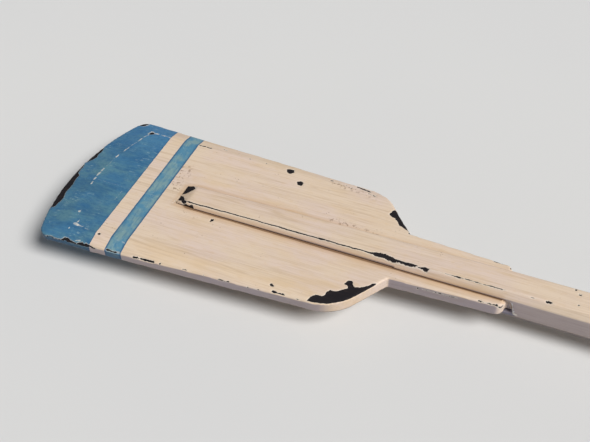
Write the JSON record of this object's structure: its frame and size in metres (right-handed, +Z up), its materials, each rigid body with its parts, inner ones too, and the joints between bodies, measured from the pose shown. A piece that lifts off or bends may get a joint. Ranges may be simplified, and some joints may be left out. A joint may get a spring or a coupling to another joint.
{
  "type": "rowing oar",
  "caption": "Wooden rowing oar: short square-tipped blade with bevelled border and raised spine, eight-sided loom turning round under a leather sleeve and button, turned grip.",
  "frame": {"origin": "centre of the oar's bounding box in plan, at the ground under the button", "axes": "+X along the oar from the blade's tip to the grip, +Z up out of the blade's bevelled face"},
  "size_m": [1.524, 0.1701, 0.062],
  "materials": {
    "painted_wood": "worn satin paint in cream with two blue bands, chipped to dark wood along the edges",
    "loom_wood": "worn satin cream paint, bare oiled wood at the grip",
    "peg_wood": "bare oak end grain",
    "sleeve_leather": "oiled harness leather, scuffed",
    "strap_leather": "oiled harness leather with burnished edges",
    "waxed_thread": "waxed linen thread",
    "copper": "dulled copper"
  },
  "bodies": {
    "root": {"blade_board": "painted_wood", "loom": "loom_wood", "joint_pegs": "peg_wood", "leather_sleeve": "sleeve_leather", "sleeve_stitching": "waxed_thread", "sleeve_tacks": "copper", "button_inner_strap": "strap_leather", "button_outer_strap": "strap_leather", "button_tacks": "copper"}
  },
  "joints": []
}
